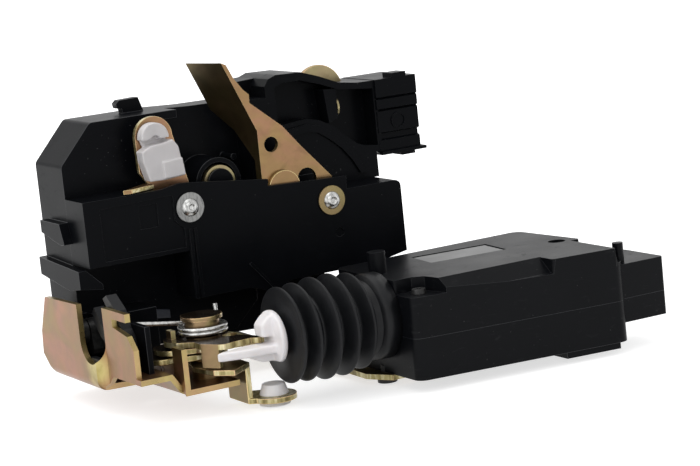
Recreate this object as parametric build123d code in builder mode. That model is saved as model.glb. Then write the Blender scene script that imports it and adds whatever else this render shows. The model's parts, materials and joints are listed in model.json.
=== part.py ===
"""Vehicle door latch with its electric locking actuator, millimetres, +Z up.

The origin is the middle of the two fixing holes in the underside of the base
sheet.  +X runs from the latch plate towards the actuator, -Y is the lever side.
"""
import os
from math import cos, radians, sin

from build123d import *

os.makedirs("parts", exist_ok=True)

# ---------------------------------------------------------------- shared sizes
sheet = 2.0                 # thickness of every pressed steel plate
fit = 0.05                  # radial clearance of a pin in its hole
play = 0.25                 # air between pieces that slide past each other

# fixing holes in the base sheet
fixing_spacing = 36.0
fixing_r = 3.0
nut_across_flats = 10.0
nut_height = 5.0

# latch plate
panel_x = -22.0             # outer face of the rear panel
joggle = 3.0                # how far the front panel is set in
slot_y = -18.0
slot_width = 16.0
slot_floor_z = 9.4
base_x = 17.0               # free edge of the base sheet
base_front_y = -57.0
base_back_y = 27.0
step_z = 6.0                # underside of the raised front corner

# plastic bodies
body_left_x = -15.0
body_right_x = 116.0
body_front_y = 6.0
body_back_y = 31.0
body_floor_z = 24.0
body_top_z = 92.4
cover_y = -10.0
cover_wall = 2.0
arm_right_x = 24.0
arm_floor_z = 42.0
arm_top_z = 66.0

# the two rivets that hold the cover and carry the levers
rivet_left = (26.7, 57.9)
rivet_right = (85.3, 51.1)
rivet_r = 2.6
rivet_head_r = 3.4
rivet_end_y = 20.0
washer_r = 5.6
washer_t = 0.8
lever_hub_r = 7.2

# levers inside the cover, by their front faces
tongue_y = -7.8
tongue_t = 1.6
release_y = -6.0
knob_y = -2.0

# stack of levers on the upright pin
pin_x = 12.0
pin_y = -41.6
pin_r = 3.4
pin_head_r = 7.5
pin_head_z = 23.0
pin_head_t = 1.5
inside_z = 6.0              # undersides of the levers
transfer_z = 9.6
middle_z = 12.1
lock_z = 15.2
coil_z = 18.0
coil_wire = 1.6
coil_r = 8.2
hub_r = 6.2

# actuator axis and stations along it
rod_y = -66.0
rod_z = 16.4
rod_r = 3.0
rod_stroke = 10.0
link_x = 26.0               # front face of the link's disc
link_disc_r = 9.75
link_disc_t = 2.4
link_reach = 20.0           # length of the lower prong
prong_t = 3.2
nub_half = 3.4
bellows_x = 29.2
bellows_r = 17.2
bellows_pitch = 7.2
bellows_turns = 5
bellows_wall = 1.0
cuff_r = 15.8
actuator_x = 70.5           # left end face of the shells
actuator_end_x = 155.0
actuator_top_z = 30.0
actuator_split_z = 10.4
actuator_floor_z = -4.7
connector_x = 174.0
screw_r = 2.0
bracket_screws_at = ((72, -64), (89, -48))
bracket_rivets_at = ((13, -2), (13, 14))
shell_wall = 2.4


def front(y):
    """Plane square to Y, drawn in X and Z; a negative extrusion goes back."""
    return Plane.XZ.offset(-y)


def side(x):
    """Plane square to X, drawn in Y and Z."""
    return Plane.YZ.offset(x)


def level(z):
    """Plane square to Z, drawn in X and Y."""
    return Plane.XY.offset(z)


def save(piece, name):
    piece.part.label = name
    export_step(piece.part, f"parts/{name}.step")


# ---------------------------------------------------------------- latch plate
slot_front_y = slot_y - slot_width / 2
slot_back_y = slot_y + slot_width / 2
front_panel_x = panel_x + joggle
panel_front_y = -50.4
panel_back_y = 28.0
step_x = -4.0               # foot of the slope beside the raised corner
lug_y = -49.0
lug_top_z = 16.5

with BuildPart() as latch_plate:
    # both panels and the joggle between them, as one strip
    with BuildSketch(level(0)):
        with BuildLine():
            Polyline(
                (panel_x, panel_back_y), (panel_x + sheet, panel_back_y),
                (panel_x + sheet, slot_front_y + 4.6), (front_panel_x + sheet, slot_front_y + 0.6),
                (front_panel_x + sheet, panel_front_y), (front_panel_x, panel_front_y),
                (front_panel_x, slot_front_y), (panel_x, slot_front_y + 4), close=True)
        make_face()
    extrude(amount=34)
    # outline of the panels
    with BuildSketch(side(panel_x - 1)):
        with BuildLine():
            Polyline(
                (slot_back_y, 30.3), (20, 29.6), (27, 16), (28, 7.5), (19, 0), (slot_front_y + 4, 0),
                (slot_front_y - 4, step_z), (panel_front_y, step_z), (panel_front_y, 18),
                (-46, 22.6), (-34, 24.6), (-34, 27.5), (-46, 27.5), (-46, 30.5),
                (slot_front_y, 30.5), (slot_front_y, 36), (slot_back_y, 36), close=True)
        make_face()
        with Locations((slot_y, slot_floor_z + slot_width / 2)):
            Circle(slot_width / 2, mode=Mode.SUBTRACT)
        with Locations((slot_y, slot_floor_z + slot_width / 2 + 20)):
            Rectangle(slot_width, 40, mode=Mode.SUBTRACT)
    extrude(amount=joggle + sheet + 2, mode=Mode.INTERSECT)
    # base sheet
    with BuildSketch(level(0)):
        with BuildLine():
            Polyline(
                (panel_x, base_back_y - 8), (panel_x + 8, base_back_y), (base_x, base_back_y),
                (base_x, base_front_y), (step_x, base_front_y), (step_x, slot_front_y + 2),
                (panel_x, slot_front_y + 4), close=True)
        make_face()
    extrude(amount=sheet)
    # raised front corner with its slope
    with BuildSketch(front(base_front_y + 3)):
        with BuildLine():
            Polyline(
                (front_panel_x, step_z), (step_x - 4, step_z), (step_x, 0), (step_x + 3, 0),
                (step_x + 3, sheet), (step_x + 1, sheet), (step_x - 3, step_z + sheet),
                (front_panel_x, step_z + sheet), close=True)
        make_face()
    extrude(amount=-(slot_front_y + 2 - base_front_y - 3))
    # upturned lug at the front edge
    with BuildSketch(side(step_x)):
        with Locations(((base_front_y + lug_y) / 2, lug_top_z / 2)):
            Rectangle(lug_y - base_front_y, lug_top_z)
    extrude(amount=sheet)
    # fixing holes and the hole for the upright pin
    with BuildSketch(level(0)):
        with Locations((0, fixing_spacing / 2), (0, -fixing_spacing / 2)):
            Circle(fixing_r)
        with Locations((pin_x, pin_y)):
            Circle(pin_r)
        with Locations(*bracket_rivets_at):
            Circle(screw_r)
    extrude(amount=sheet, mode=Mode.SUBTRACT)
save(latch_plate, "latch_plate")

with BuildPart() as weld_nuts:
    with BuildSketch(level(sheet)):
        with Locations((0, fixing_spacing / 2), (0, -fixing_spacing / 2)):
            RegularPolygon(nut_across_flats / 2, 6, major_radius=False)
            Circle(fixing_r, mode=Mode.SUBTRACT)
    extrude(amount=nut_height)
save(weld_nuts, "weld_nuts")

# ---------------------------------------------------------------- latch carrier
carrier_x = 9.0
carrier_back_y = 26.0
claw_y = -32.0
claw_z = 17.0
claw_t = 4.0
claw_x = front_panel_x + sheet + play
claw_pin_r = 3.0
claw_hub_r = 8.0
claw_shut = 45.0            # degrees that the claw turns from open to shut
pawl_y = -4.0
pawl_z = 19.0
pawl_hub_r = 4.5
pawl_pin_r = 2.2
pawl_lift = 20.0            # degrees that the pawl is lifted while the claw is open
back_x = claw_x + claw_t + play     # plastic wall behind the claw and pawl
carrier_wall = 2.0
chamber_floor_z = 4.0

with BuildPart() as latch_carrier:
    # block behind the rear panel
    with BuildSketch(level(sheet)):
        with Locations(((panel_x + sheet + carrier_x) / 2, (slot_back_y + carrier_back_y) / 2)):
            Rectangle(carrier_x - panel_x - sheet, carrier_back_y - slot_back_y)
    extrude(amount=body_floor_z - sheet)
    # wall behind the claw, with a foot on the base sheet
    with BuildSketch(side(back_x)):
        with BuildLine():
            Polyline(
                (slot_back_y, sheet), (slot_back_y, body_floor_z), (slot_front_y, body_floor_z + 1),
                (-47, 25), (-47, step_z + sheet), (slot_front_y + 2.2, step_z + sheet),
                (slot_front_y + 2.2, sheet), close=True)
        make_face()
    extrude(amount=carrier_wall)
    # chamber for the pawl, open to the striker's slot
    with BuildSketch(side(panel_x + sheet)):
        with Locations(((slot_back_y + 4) / 2, (chamber_floor_z + body_floor_z) / 2)):
            Rectangle(4 - slot_back_y, body_floor_z - chamber_floor_z)
    extrude(amount=back_x - panel_x - sheet, mode=Mode.SUBTRACT)
    # pocket for the weld nut and the end of its bolt
    with BuildSketch(level(sheet)):
        with Locations((0, fixing_spacing / 2)):
            Circle(nut_across_flats / 2 + 1.4)
    extrude(amount=nut_height + 4, mode=Mode.SUBTRACT)
    # bores for the two pivots
    with BuildSketch(side(back_x)):
        with Locations((claw_y, claw_z)):
            Circle(claw_pin_r)
        with Locations((pawl_y, pawl_z)):
            Circle(pawl_pin_r)
    extrude(amount=carrier_wall, mode=Mode.SUBTRACT)
save(latch_carrier, "latch_carrier")


def pivot_plane(x, y, z, turn):
    """Plane square to X at a pivot, turned about it."""
    return Plane(origin=(x, y, z), x_dir=(0, cos(radians(turn)), sin(radians(turn))), z_dir=(1, 0, 0))


# claw: a fork drawn shut, with the striker's notch level, and turned to its open pose
mouth_r = 4.8               # half the width of the notch
mouth_at = slot_y - claw_y  # notch centre, from the pivot
claw_spring_r = 5.0
claw_spring_wire = 1.2

with BuildPart() as claw:
    with BuildSketch(pivot_plane(claw_x, claw_y, claw_z, claw_shut)):
        with BuildLine():
            Polyline(
                (-6, -5), (2, -8.2), (8, -8.4), (12, -9.6), (19, -9.6), (21.3, -7.4), (21.3, -mouth_r),
                (21.3, 0), (17.8, 0), (17.8, mouth_r), (16.6, 8.2), (8, 10), (-5, 6), close=True)
        make_face()
        Circle(claw_hub_r)
        with Locations((mouth_at, 0)):
            Circle(mouth_r, mode=Mode.SUBTRACT)
        with Locations((mouth_at + 10, 0)):
            Rectangle(20, 2 * mouth_r, mode=Mode.SUBTRACT)
        Circle(claw_pin_r + fit, mode=Mode.SUBTRACT)
    extrude(amount=claw_t)
    # seat of the return spring, on the face towards the panel
    with BuildSketch(pivot_plane(claw_x, claw_y, claw_z, claw_shut)):
        Circle(claw_spring_r + claw_spring_wire)
    extrude(amount=claw_spring_wire + 0.4, mode=Mode.SUBTRACT)
save(claw, "claw")

with BuildPart() as claw_pin:
    with BuildSketch(side(front_panel_x + sheet)):
        with Locations((claw_y, claw_z)):
            Circle(claw_pin_r)
    extrude(amount=back_x + carrier_wall - front_panel_x - sheet)
save(claw_pin, "claw_pin")

with BuildPart() as claw_spring:
    with BuildSketch(side(front_panel_x + sheet)):
        with Locations((claw_y, claw_z)):
            Circle(claw_spring_r + claw_spring_wire / 2)
            Circle(claw_spring_r - claw_spring_wire / 2, mode=Mode.SUBTRACT)
    extrude(amount=claw_spring_wire)
save(claw_spring, "claw_spring")

with BuildPart() as pawl:
    with BuildSketch(pivot_plane(claw_x, pawl_y, pawl_z, pawl_lift)):
        with BuildLine():
            Polyline((-7.2, -6), (-5.1, -7.5), (1.5, -4.5), (-3.5, 2.5), (-7.3, -4), close=True)
        make_face()
        Circle(pawl_hub_r)
        Circle(pawl_pin_r + fit, mode=Mode.SUBTRACT)
    extrude(amount=claw_t)
save(pawl, "pawl")

with BuildPart() as pawl_pin:
    with BuildSketch(side(panel_x + sheet)):
        with Locations((pawl_y, pawl_z)):
            Circle(pawl_pin_r)
    extrude(amount=back_x + carrier_wall - panel_x - sheet)
save(pawl_pin, "pawl_pin")

with BuildPart() as pawl_spring:
    with BuildSketch(side(panel_x + sheet)):
        with Locations((pawl_y, pawl_z)):
            Circle(pawl_hub_r)
            Circle(pawl_hub_r - 1.2, mode=Mode.SUBTRACT)
    extrude(amount=claw_x - panel_x - sheet - 2 * play)
save(pawl_spring, "pawl_spring")

# rubber buffer that the striker meets at the bottom of the slot
with BuildPart() as bump_stop:
    with BuildSketch(side(panel_x + sheet)):
        with Locations((slot_y + 2, (sheet + slot_floor_z + 1.6) / 2)):
            Rectangle(9, slot_floor_z + 1.6 - sheet)
    extrude(amount=claw_x - panel_x - sheet - 2 * play)
save(bump_stop, "bump_stop")

# ---------------------------------------------------------------- main housing
pocket = (33.0, 62.0)       # X range of the well for the release lever
pocket_back_y = 17.0
pocket_floor_z = 52.0
well_left_x = 21.0          # where the well reaches behind the knob lever
lower_right_x = 58.0
lower_floor_z = 6.4
seam_z = 60.0               # where the key casing sits on the housing
clip_proud = 3.6
ledge_proud = 3.0
ring_at = (44.8, 63.6)
ring_boss_r = 5.2
hood_r = 9.2
hood_wall = 1.8
shoulder_z = 54.3

with BuildPart() as housing:
    with BuildSketch(front(body_front_y)):
        with BuildLine():
            Polyline(
                (body_left_x, body_floor_z), (body_left_x, 78), (-2, body_top_z), (31, body_top_z),
                (43.7, 91.7), (pocket[1], 91.5), (pocket[1], seam_z), (92.6, seam_z),
                (92.6, shoulder_z), (body_right_x, shoulder_z), (body_right_x, 26.6),
                (102, body_floor_z), close=True)
        make_face()
    extrude(amount=-(body_back_y - body_front_y))
    outer_edges = housing.edges().filter_by(Axis.Y)
    fillet(outer_edges.group_by(Axis.X)[0] + outer_edges.group_by(Axis.Z)[-1].group_by(Axis.X)[0], 2.5)
    fillet(outer_edges.group_by(Axis.X)[-1].group_by(Axis.Z)[-1], 2.5)
    # well for the levers, open at the top for the release lever's flange
    with BuildSketch(front(body_front_y)):
        with BuildLine():
            Polyline(
                (pocket[0], pocket_floor_z), (pocket[0], 66), (24, 70), (well_left_x, 76), (well_left_x, 86),
                (26, body_top_z - 3), (pocket[0], body_top_z - 3), (pocket[0], 100), (pocket[1], 100),
                (pocket[1], pocket_floor_z), close=True)
        make_face()
    extrude(amount=-(pocket_back_y - body_front_y), mode=Mode.SUBTRACT)
    # boss that carries the ring spring, under an arched hood
    with BuildSketch(front(pocket_back_y)):
        with Locations(ring_at):
            Circle(ring_boss_r)
    extrude(amount=pocket_back_y + 1)
    with BuildSketch(front(pocket_back_y)):
        with Locations(ring_at):
            Circle(hood_r)
            Circle(hood_r - hood_wall, mode=Mode.SUBTRACT)
        with Locations((ring_at[0], ring_at[1] - hood_r)):
            Rectangle(2 * hood_r, 2 * hood_r - 4, mode=Mode.SUBTRACT)
    extrude(amount=pocket_back_y - 1)
    with BuildSketch(front(pocket_back_y)):
        with Locations((55.4, 71.1)):
            Circle(1.2)
    extrude(amount=pocket_back_y - 8)
    # hook on the roof
    with BuildSketch(front(20)):
        with BuildLine():
            Polyline(
                (17.8, body_top_z - 1), (17.4, 94.2), (15.6, 94.4), (15.2, 96.2), (16.6, 97.4), (24.4, 97.6),
                (26.4, body_top_z - 1), close=True)
        make_face()
    extrude(amount=-4)
    # clip on the left wall, and the ledge below it
    with BuildSketch(side(body_left_x - clip_proud)):
        with BuildLine():
            Polyline((3, 50), (6, 57.6), (24, 57.6), (24, 53), (6, 49.6), close=True)
        make_face()
    extrude(amount=clip_proud)
    with BuildSketch(side(body_left_x - ledge_proud)):
        with BuildLine():
            Polyline((-6, 34.4), (-6, 41), (body_back_y, 43), (body_back_y, 36.4), (4, 32.9), close=True)
        make_face()
    extrude(amount=ledge_proud)
    # front return of the ledge
    with BuildSketch(front(-6)):
        with BuildLine():
            Polyline(
                (body_left_x - ledge_proud, 34.4), (body_left_x - ledge_proud, 41), (body_left_x, 41),
                (body_left_x + 6, 35), (body_left_x + 6, 33), close=True)
        make_face()
    extrude(amount=-(body_front_y + 6))
    # block behind the lever stack, above the bracket's rivets
    with BuildSketch(front(body_front_y)):
        with BuildLine():
            Polyline(
                (carrier_x + play, lower_floor_z), (carrier_x + play, body_floor_z + 1),
                (lower_right_x, body_floor_z + 1), (lower_right_x, 16), (48, lower_floor_z), close=True)
        make_face()
    extrude(amount=-(carrier_back_y - body_front_y))
    # upright ribs on the back
    with BuildSketch(front(body_back_y)):
        for x in (4, 28, 52, 76):
            with Locations((x, 56)):
                Rectangle(2, 44)
    extrude(amount=-1.2)
    # blind bores for the rivets
    with BuildSketch(front(body_front_y)):
        with Locations(rivet_left, rivet_right):
            Circle(rivet_r)
    extrude(amount=-(rivet_end_y - body_front_y), mode=Mode.SUBTRACT)
save(housing, "housing")

# ---------------------------------------------------------------- front cover
cover_left_x = 25.2

with BuildPart() as front_cover:
    with BuildSketch(front(cover_y)):
        with BuildLine():
            Polyline(
                (body_left_x, arm_floor_z), (body_left_x, arm_top_z), (16, arm_top_z), (arm_right_x, 67.3),
                (59.8, 63.1), (59.5, 60.5), (92.7, 59.2), (92.6, shoulder_z),
                (body_right_x, shoulder_z), (body_right_x, 26.6), (102, body_floor_z),
                (65, body_floor_z), (58.9, 20.3), (48, body_floor_z), (cover_left_x, body_floor_z),
                (cover_left_x, arm_floor_z), close=True)
        make_face()
    extrude(amount=-(body_front_y - cover_y))
    # inner space for the levers, open at the back
    with BuildSketch(front(cover_y + cover_wall)):
        with BuildLine():
            Polyline(
                (cover_left_x + cover_wall, body_floor_z + cover_wall), (cover_left_x + cover_wall, 44),
                (14, 44), (14, 70), (93, 70), (93, shoulder_z - cover_wall),
                (body_right_x - cover_wall, shoulder_z - cover_wall),
                (body_right_x - cover_wall, 26.6 + cover_wall), (102, body_floor_z + cover_wall), close=True)
        make_face()
    extrude(amount=-(body_front_y - cover_y), mode=Mode.SUBTRACT)
    # recessed field in the face of the arm, with a deeper window in it
    with BuildSketch(front(cover_y)):
        with BuildLine():
            Polyline(
                (-8.6, arm_floor_z + 1.4), (-8.6, arm_top_z - 3.4), (20.4, arm_top_z - 2.6),
                (20.4, rivet_left[1] - 4), (cover_left_x - 1.4, rivet_left[1] - washer_r - 2),
                (cover_left_x - 1.4, arm_floor_z + 1.4), close=True)
        make_face()
    extrude(amount=-0.7, mode=Mode.SUBTRACT)
    with BuildSketch(front(cover_y)):
        with Locations((10.4, 57)):
            Rectangle(7.4, 8.6)
    extrude(amount=-1.3, mode=Mode.SUBTRACT)
    # pair of upright ribs below the left rivet, a slanting rib and a dimple
    with BuildSketch(front(cover_y - 0.8)):
        with Locations((cover_left_x + 0.6, 37), (cover_left_x + 2.6, 37)):
            Rectangle(1.1, 2 * (37 - body_floor_z))
        with BuildLine():
            Polyline((48.2, 32.8), (49, 33.6), (59.2, 20.8), (58.7, 20.4), close=True)
        make_face()
    extrude(amount=-0.8)
    with BuildSketch(front(cover_y)):
        with Locations((87.7, 38.4)):
            Circle(1.8)
    extrude(amount=-0.6, mode=Mode.SUBTRACT)
    fillet(front_cover.edges().filter_by(Axis.Y).group_by(Axis.X)[-1].group_by(Axis.Z)[-1], 2.5)
    with BuildSketch(front(cover_y)):
        with Locations(rivet_left, rivet_right):
            Circle(rivet_r)
    extrude(amount=-cover_wall, mode=Mode.SUBTRACT)
save(front_cover, "front_cover")

# ---------------------------------------------------------------- rivets, washers
with BuildPart() as cover_rivets:
    with BuildSketch(front(cover_y - washer_t)):
        with Locations(rivet_left, rivet_right):
            Circle(rivet_r)
    extrude(amount=-(rivet_end_y - cover_y + washer_t))
    for x, z in (rivet_left, rivet_right):
        with BuildSketch(front(cover_y - washer_t)):
            with Locations((x, z)):
                Circle(rivet_head_r)
        extrude(amount=2.0, taper=30)
save(cover_rivets, "cover_rivets")

for name, place in (("left_washer", rivet_left), ("right_washer", rivet_right)):
    with BuildPart() as washer:
        with BuildSketch(front(cover_y)):
            with Locations(place):
                Circle(washer_r)
                Circle(rivet_r, mode=Mode.SUBTRACT)
        extrude(amount=washer_t)
    save(washer, name)

# ---------------------------------------------------------------- release lever
flange_depth = 21.0
flange_lean = 5.0
blade_top = (47.6, 108.0)
blade_bend = (59.4, 81.0)
blade_foot = (59.3, 62.0)
release_hole = (64.6, 75.2)
release_hole_r = 2.9

with BuildPart() as release_lever:
    with BuildSketch(front(release_y)):
        with BuildLine():
            Polyline(
                blade_top, (55.4, 97), (57.6, 95), (57.5, 91.8), (70, 81.4), (76.7, 73.2), (88.9, 59.4),
                (92, 55.4), (85.3, 43.1), (78, 47), (61.5, 58), blade_foot, blade_bend, close=True)
        make_face()
        with Locations(rivet_right):
            Circle(lever_hub_r)
        with Locations((78.2, 60.3)):
            Circle(4, mode=Mode.SUBTRACT)
        with Locations((78.2, 56)):
            Rectangle(8, 8.6, mode=Mode.SUBTRACT)
        with Locations(release_hole):
            Circle(release_hole_r, mode=Mode.SUBTRACT)
        with Locations(rivet_right):
            Circle(rivet_r + fit, mode=Mode.SUBTRACT)
    extrude(amount=-sheet)
    with BuildSketch(front(release_y)):
        with BuildLine():
            Polyline(
                blade_top, blade_bend, blade_foot, (blade_foot[0] + sheet, blade_foot[1]),
                (blade_bend[0] + sheet, blade_bend[1] + 0.5), (blade_top[0] + sheet, blade_top[1] - 1),
                close=True)
        make_face()
    extrude(amount=flange_depth, dir=(-flange_lean, flange_depth, 0))
    with BuildSketch(side(blade_top[0] - 10)):
        with BuildLine():
            Polyline(
                (release_y + 3, blade_foot[1] - 1), (release_y + 3, 70), (release_y + flange_depth + 1, 91),
                (release_y + flange_depth + 1, blade_foot[1] - 1), close=True)
        make_face()
    extrude(amount=40, mode=Mode.SUBTRACT)
save(release_lever, "release_lever")

# ---------------------------------------------------------------- tongue lever
tongue_at = (67.7, 58.5)
tongue_r = 6.6
with BuildPart() as tongue_lever:
    with BuildSketch(front(tongue_y)):
        with Locations(tongue_at):
            Circle(tongue_r)
        with BuildLine():
            Polyline(
                (rivet_left[0], rivet_left[1] + 4), (tongue_at[0], tongue_at[1] - 1),
                (tongue_at[0], tongue_at[1] - 6), (rivet_left[0], rivet_left[1] - 5), close=True)
        make_face()
        with Locations(rivet_left):
            Circle(6)
            Circle(rivet_r + fit, mode=Mode.SUBTRACT)
    extrude(amount=-tongue_t)
save(tongue_lever, "tongue_lever")

# ---------------------------------------------------------------- knob lever
knob_at = (19.2, 84.6)
knob_r = 7.5
clip_stud_r = 2.8
with BuildPart() as knob_lever:
    with BuildSketch(front(knob_y)):
        with Locations(knob_at):
            Circle(knob_r)
        with BuildLine():
            Polyline(
                (knob_at[0] - knob_r, knob_at[1]), (knob_at[0] + knob_r, knob_at[1]),
                (rivet_left[0] + 6, rivet_left[1] + 2), (rivet_left[0] - 6, rivet_left[1] - 2),
                (15.5, 67), (12, 72), close=True)
        make_face()
        with Locations(rivet_left):
            Circle(lever_hub_r)
        with Locations(knob_at):
            Circle(clip_stud_r + fit, mode=Mode.SUBTRACT)
        with Locations(rivet_left):
            Circle(rivet_r + fit, mode=Mode.SUBTRACT)
    extrude(amount=-sheet)
    # foot bent forward over the arm of the cover
    with BuildSketch(level(arm_top_z + play)):
        with BuildLine():
            Polyline(
                (13.5, knob_y + sheet), (1.8, -9), (5, -9.6), (15.4, -6), (15.4, knob_y + sheet), close=True)
        make_face()
    extrude(amount=1.6)
save(knob_lever, "knob_lever")

clip_back_y = knob_y - play
clip_t = 5.5
with BuildPart() as rod_clip:
    # body of the clip
    with BuildSketch(front(clip_back_y)):
        with BuildLine():
            Polyline(
                (11.4, 80.2), (15.2, 82.1), (20, 82.4), (24.2, 83.3), (26.2, 80.4), (27.6, 69.6),
                (19.5, 68.9), (13.5, 69.1), (11.6, 76.4), close=True)
        make_face()
    extrude(amount=clip_t)
    # rod channel's cap at its lower right corner
    with BuildSketch(front(clip_back_y - clip_t)):
        with BuildLine():
            Polyline((19, 69.4), (19, 75.6), (26.8, 76.2), (27.5, 69.8), close=True)
        make_face()
    extrude(amount=0.9)
    # crescent above, on the backing disc that joins both
    with BuildSketch(front(clip_back_y)):
        with Locations((knob_at[0] - 1, knob_at[1])):
            Circle(5.2)
    extrude(amount=1.2)
    with BuildSketch(front(clip_back_y)):
        with Locations((knob_at[0] - 1.4, knob_at[1] + 0.2)):
            Circle(5.4)
        with Locations((knob_at[0] - 1.4, knob_at[1] - 1.4)):
            Circle(2.2, mode=Mode.SUBTRACT)
        with Locations((knob_at[0] - 1.4, knob_at[1] - 6)):
            Rectangle(12, 11.2, mode=Mode.SUBTRACT)
    extrude(amount=clip_t - 0.8)
    with BuildSketch(front(clip_back_y)):
        with Locations(knob_at):
            Circle(clip_stud_r)
    extrude(amount=-(sheet + 1.2 + play))
save(rod_clip, "rod_clip")

# ring spring round its boss
ring_wire = 1.2
ring_r = ring_boss_r + ring_wire / 2
ring_y = 0.0
with BuildPart() as ring_spring:
    with BuildSketch(front(ring_y)):
        with Locations(ring_at):
            Circle(ring_r + ring_wire / 2)
            Circle(ring_r - ring_wire / 2, mode=Mode.SUBTRACT)
    extrude(amount=-2 * ring_wire)
save(ring_spring, "ring_spring")

# ---------------------------------------------------------------- key casing
disc_at = (101.0, 89.0)
disc_r = 10.4
disc_y = 20.0
disc_pin_r = 2.5
box_left_x = 118.6
box_right_x = 135.8
box_front_y = 5.0
chamber_depth = 9.0
eyelet_x = 101.2
with BuildPart() as key_casing:
    with BuildSketch(front(body_front_y)):
        with BuildLine():
            Polyline(
                (pocket[1], seam_z), (pocket[1], 91.4), (70.4, 91.4), (70.4, 95.6), (72.2, 98.2), (75.4, 99.4),
                (86.1, 99.1), (94, 96.4), (102, 93), (110, 91.8), (box_left_x, 91.6), (box_left_x, 62),
                (body_right_x, 64), (body_right_x, shoulder_z), (92.6, shoulder_z), (92.6, seam_z), close=True)
        make_face()
    extrude(amount=-(body_back_y - body_front_y))
    # rounded block at the back of the left end
    with BuildSketch(front(18)):
        with BuildLine():
            Polyline(
                (60, 92), (60, 94.6), (61.6, 97), (64, 97.8), (72.2, 98.2), (72.2, 90), (pocket[1], 90),
                (pocket[1], 92), close=True)
        make_face()
    extrude(amount=-(body_back_y - 18))
    # box at the right end: banded front face between a roof and a floor flange
    with BuildSketch(side(box_left_x - 1)):
        with BuildLine():
            Polyline(
                (body_back_y, 62.4), (body_back_y, 91.8), (box_front_y, 91.8), (box_front_y, 84.8),
                (box_front_y + 1, 84.2), (box_front_y + 0.3, 83.8), (box_front_y + 0.3, 80.2),
                (box_front_y + 1.4, 79.6), (box_front_y + 0.6, 79.2), (box_front_y + 0.6, 71),
                (box_front_y + 2.2, 70.4), (box_front_y + 2.2, 68.4), (box_front_y + 0.8, 67.8),
                (box_front_y + 0.8, 64), (box_front_y - 1, 63.6), (box_front_y - 1, 62.4), close=True)
        make_face()
    extrude(amount=box_right_x - box_left_x + 1)
    # floor flange's lip, round mark and roof tab
    with BuildSketch(level(62.4)):
        with Locations(((box_left_x + box_right_x + 1.6) / 2, (box_front_y + body_back_y) / 2)):
            Rectangle(box_right_x - box_left_x + 1.6, body_back_y - box_front_y + 2)
    extrude(amount=1.2)
    with BuildSketch(front(box_front_y + 0.6)):
        with Locations((126.6, 75)):
            Circle(3.2)
            Circle(2.6, mode=Mode.SUBTRACT)
    extrude(amount=0.4)
    with BuildSketch(front(box_front_y)):
        with Locations((128.4, 92.6)):
            Rectangle(6.4, 1.8)
    extrude(amount=-7)
    with BuildSketch(front(box_front_y)):
        with Locations((129.6, 61.8)):
            Rectangle(6, 1.4)
    extrude(amount=-7)
    # open chamber at the front
    with BuildSketch(front(body_front_y)):
        with BuildLine():
            Polyline(
                (74.4, 94.8), (78, 96.2), (86, 96), (94, 93.4), (101.5, 90.4), (116.8, 88.6), (116.8, 66.4),
                (111, 67.2), (107.8, 68.4), (103, 72), (98, 76.6), (92, 79.8), (86, 81), (74.4, 80), close=True)
        make_face()
    extrude(amount=-chamber_depth, mode=Mode.SUBTRACT)
    # slab beside the eyelet
    with BuildSketch(front(body_front_y + 1)):
        with BuildLine():
            Polyline((95.8, 91), (eyelet_x, 90.6), (eyelet_x, 79.6), (97, 77.8), close=True)
        make_face()
    extrude(amount=-chamber_depth)
    # curved rib from the chamber down to the shoulder
    with BuildSketch(front(body_front_y)):
        with BuildLine():
            Polyline(
                (74.4, 77.8), (86, 79), (92, 77.6), (98, 73.6), (103, 69), (107, 63.6), (110, 57), (107.6, 57),
                (104.4, 62.6), (100.4, 67.6), (95.6, 71.8), (90.6, 75.2), (86, 76.2), (74.4, 75), close=True)
        make_face()
    extrude(amount=1.2)
    # slot for the key disc and bore for its pin
    with BuildSketch(front(disc_y - play)):
        with Locations(disc_at):
            Circle(disc_r + 0.5)
    extrude(amount=-(sheet + 2 * play), mode=Mode.SUBTRACT)
    with BuildSketch(front(disc_y - 4)):
        with Locations(disc_at):
            Circle(disc_pin_r)
    extrude(amount=-11, mode=Mode.SUBTRACT)
save(key_casing, "key_casing")

with BuildPart() as key_disc:
    with BuildSketch(front(disc_y)):
        with Locations(disc_at):
            Circle(disc_r)
            Circle(disc_pin_r + fit, mode=Mode.SUBTRACT)
    extrude(amount=-sheet)
save(key_disc, "key_disc")

with BuildPart() as key_pin:
    with BuildSketch(front(disc_y - 4)):
        with Locations(disc_at):
            Circle(disc_pin_r)
    extrude(amount=-11)
save(key_pin, "key_pin")

with BuildPart() as casing_eyelet:
    with BuildSketch(side(eyelet_x)):
        with Locations((10.6, 83.5)):
            Circle(4)
            Circle(2.8, mode=Mode.SUBTRACT)
    extrude(amount=0.8)
save(casing_eyelet, "casing_eyelet")

# ---------------------------------------------------------------- lever stack
with BuildPart() as lever_pin:
    with BuildSketch(level(-1)):
        with Locations((pin_x, pin_y)):
            Circle(pin_r + 1.2)
    extrude(amount=1)
    with BuildSketch(level(0)):
        with Locations((pin_x, pin_y)):
            Circle(pin_r)
    extrude(amount=pin_head_z)
    with BuildSketch(level(pin_head_z)):
        with Locations((pin_x, pin_y)):
            Circle(pin_head_r)
    extrude(amount=pin_head_t)
save(lever_pin, "lever_pin")


def collar(z_low, z_high, radius):
    """Bush on the upright pin."""
    with BuildPart() as piece:
        with BuildSketch(level(z_low)):
            with Locations((pin_x, pin_y)):
                Circle(radius)
                Circle(pin_r, mode=Mode.SUBTRACT)
        extrude(amount=z_high - z_low)
    return piece


save(collar(sheet, inside_z - play, 5.5), "foot_collar")
save(collar(inside_z + sheet + play, transfer_z - play, 5.5), "lower_collar")
save(collar(lock_z + sheet + play, pin_head_z, hub_r), "spring_hub")

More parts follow.
